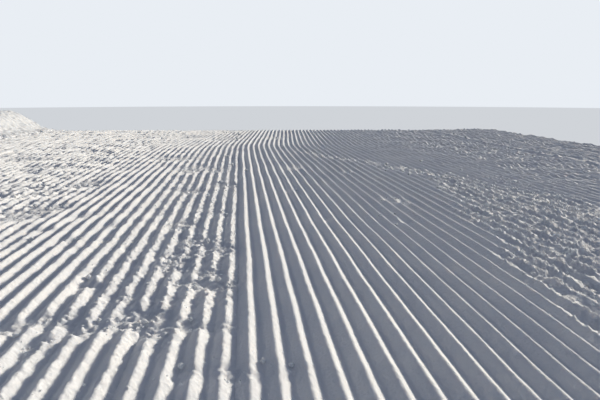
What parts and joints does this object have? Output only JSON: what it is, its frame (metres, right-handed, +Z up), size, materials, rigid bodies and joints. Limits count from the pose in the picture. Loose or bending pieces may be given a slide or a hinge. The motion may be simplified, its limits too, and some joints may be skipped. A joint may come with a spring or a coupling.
{
  "type": "groomed snow piste section",
  "caption": "Block of freshly groomed ski piste with combed corduroy ridges, a gentle bend, a pass seam, a skid track, loose clods and a snow bank at the left.",
  "frame": {"origin": "under the middle of the block, on its underside", "axes": "+Y along the ridges from the near end, +X to the right across them, +Z up"},
  "size_m": [7.22, 6.802, 0.64],
  "materials": {
    "old_snow": "hard, fine-grained, slightly translucent",
    "packed_snow": "packed, matt",
    "natural_snow": "soft, wind-smoothed, matt",
    "tilled_snow": "combed, granular, matt with fine glitter",
    "clod_snow": "crumbly, granular, matt"
  },
  "bodies": {
    "root": {"base_course_near": "old_snow", "base_course_bend": "old_snow", "base_course_far": "old_snow", "packed_course_near": "packed_snow", "packed_course_bend": "packed_snow", "packed_course_far": "packed_snow", "bank_near": "natural_snow", "bank_bend": "natural_snow", "bank_far": "natural_snow", "edge_strip_near": "tilled_snow", "edge_strip_bend": "tilled_snow", "edge_strip_far": "tilled_snow", "left_mat_near": "tilled_snow", "left_mat_bend": "tilled_snow", "left_mat_far": "tilled_snow", "joint_strip_near": "tilled_snow", "joint_strip_bend": "tilled_snow", "joint_strip_far": "tilled_snow", "right_mat_near": "tilled_snow", "right_mat_bend": "tilled_snow", "right_mat_far": "tilled_snow", "seam_berm_near": "tilled_snow", "seam_berm_bend": "tilled_snow", "seam_berm_far": "tilled_snow", "next_mat_near": "tilled_snow", "next_mat_bend": "tilled_snow", "next_mat_far": "tilled_snow", "edge_clods": "clod_snow", "left_clods": "clod_snow", "joint_clods": "clod_snow", "right_clods": "clod_snow", "skid_clods": "clod_snow", "seam_clods": "clod_snow"}
  },
  "joints": []
}
